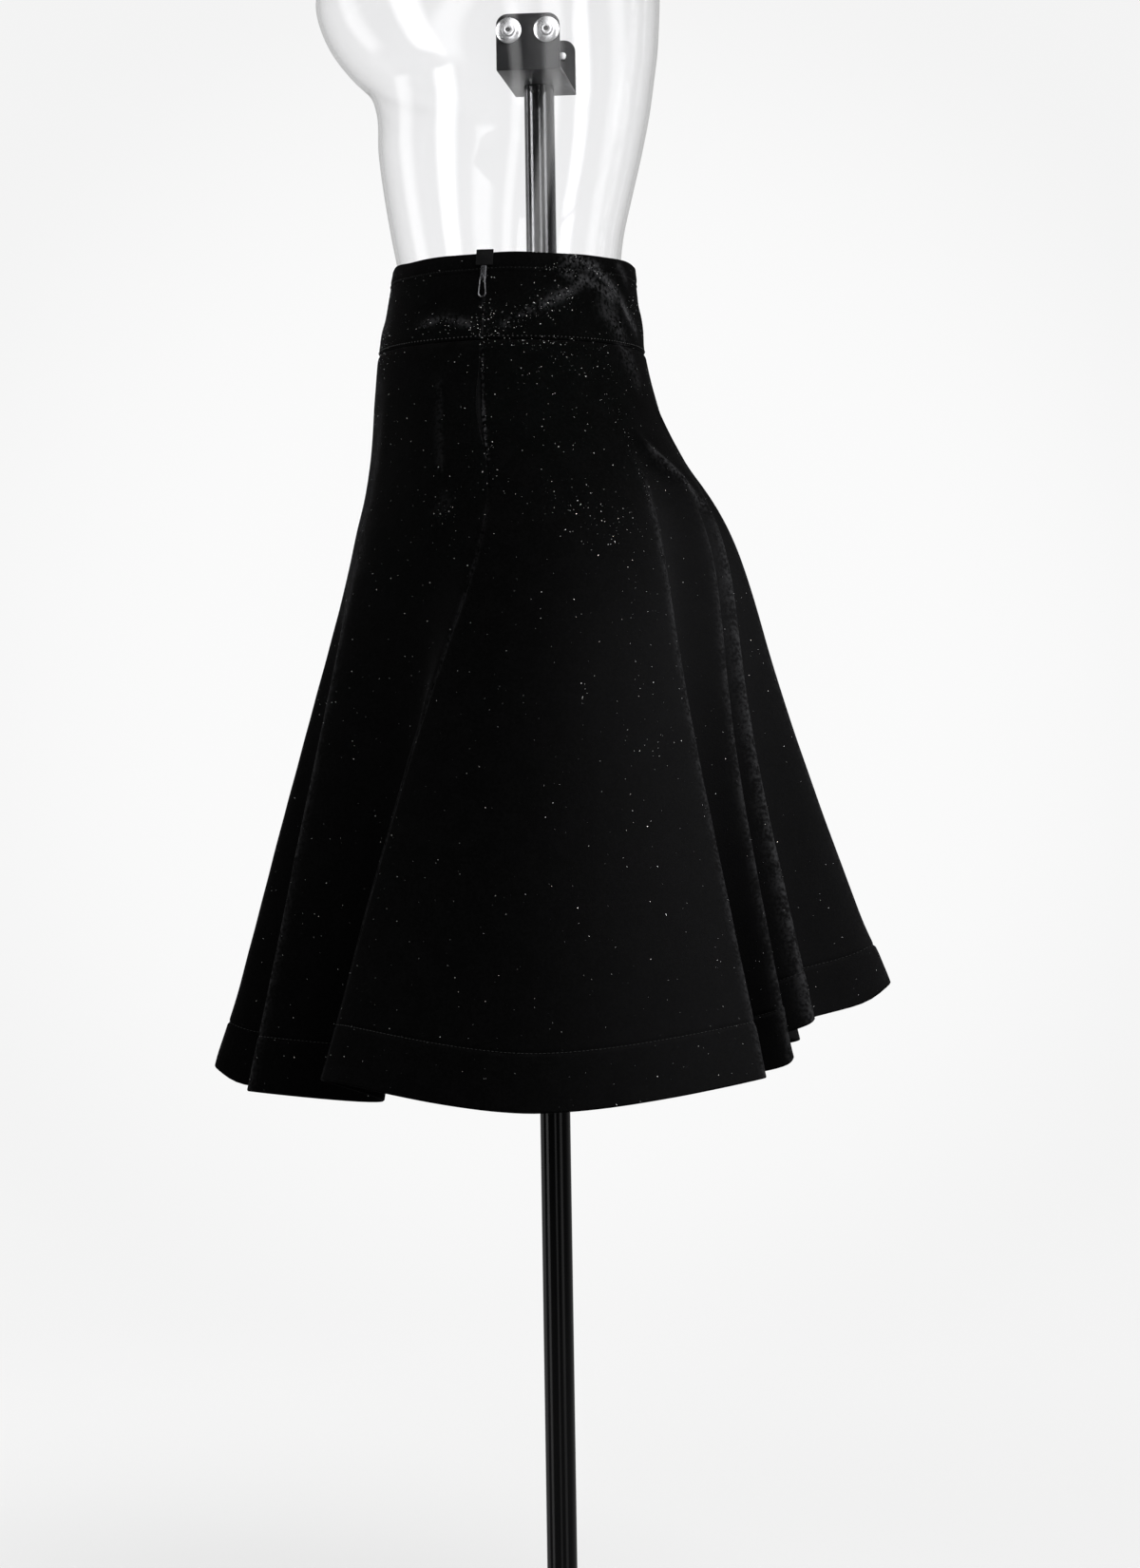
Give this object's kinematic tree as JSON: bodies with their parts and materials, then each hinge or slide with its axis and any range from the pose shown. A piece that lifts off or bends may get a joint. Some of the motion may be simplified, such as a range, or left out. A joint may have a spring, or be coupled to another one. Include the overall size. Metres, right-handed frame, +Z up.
{
  "type": "skater skirt on a limbless dress form with a stand",
  "caption": "Flared skater skirt with a hip yoke, side zip and turned hem, worn by a clear limbless dress form on a pole stand.",
  "frame": {"origin": "on the floor, at the pole's axis, in the middle of the base plate's flat underside", "axes": "+Z up, -Y towards the front of the garment, +X towards the wearer's left, the zip side"},
  "size_m": [0.5544, 0.5394, 1.59],
  "materials": {
    "velvet": "black velvet with fine silver glitter",
    "zip_tape": "woven polyester tape, matt black",
    "satin": "black satin ribbon",
    "zip_metal": "dark enamelled metal, worn bright at the edges",
    "clear_plastic": "clear glossy moulded plastic",
    "black_metal": "satin black powder coat",
    "bright_steel": "zinc-plated steel"
  },
  "bodies": {
    "garment_on_stand": {"yoke_front": "velvet", "yoke_back": "velvet", "skirt_front": "velvet", "skirt_back": "velvet", "zip_tape": "zip_tape", "zip_end_tab": "satin", "zip_slider": "zip_metal", "form_shell": "clear_plastic", "form_plate": "black_metal", "pole_collar": "black_metal", "pole": "black_metal", "base_plate": "black_metal", "bracket": "black_metal", "washer_near_1": "bright_steel", "washer_near_2": "bright_steel", "washer_far_1": "bright_steel", "washer_far_2": "bright_steel", "screw_near_1": "bright_steel", "screw_near_2": "bright_steel", "screw_far_1": "bright_steel", "screw_far_2": "bright_steel"},
    "pull_tab": {"zip_pull_tab": "zip_metal"}
  },
  "joints": [
    {"name": "pull_tab_swing", "type": "hinge", "parent": "garment_on_stand", "child": "pull_tab", "pos_m": [0.1249, -0.03211, 1.08372], "axis": [-0.1168, -0.993, 0.0149], "range_deg": [0, 150]}
  ]
}
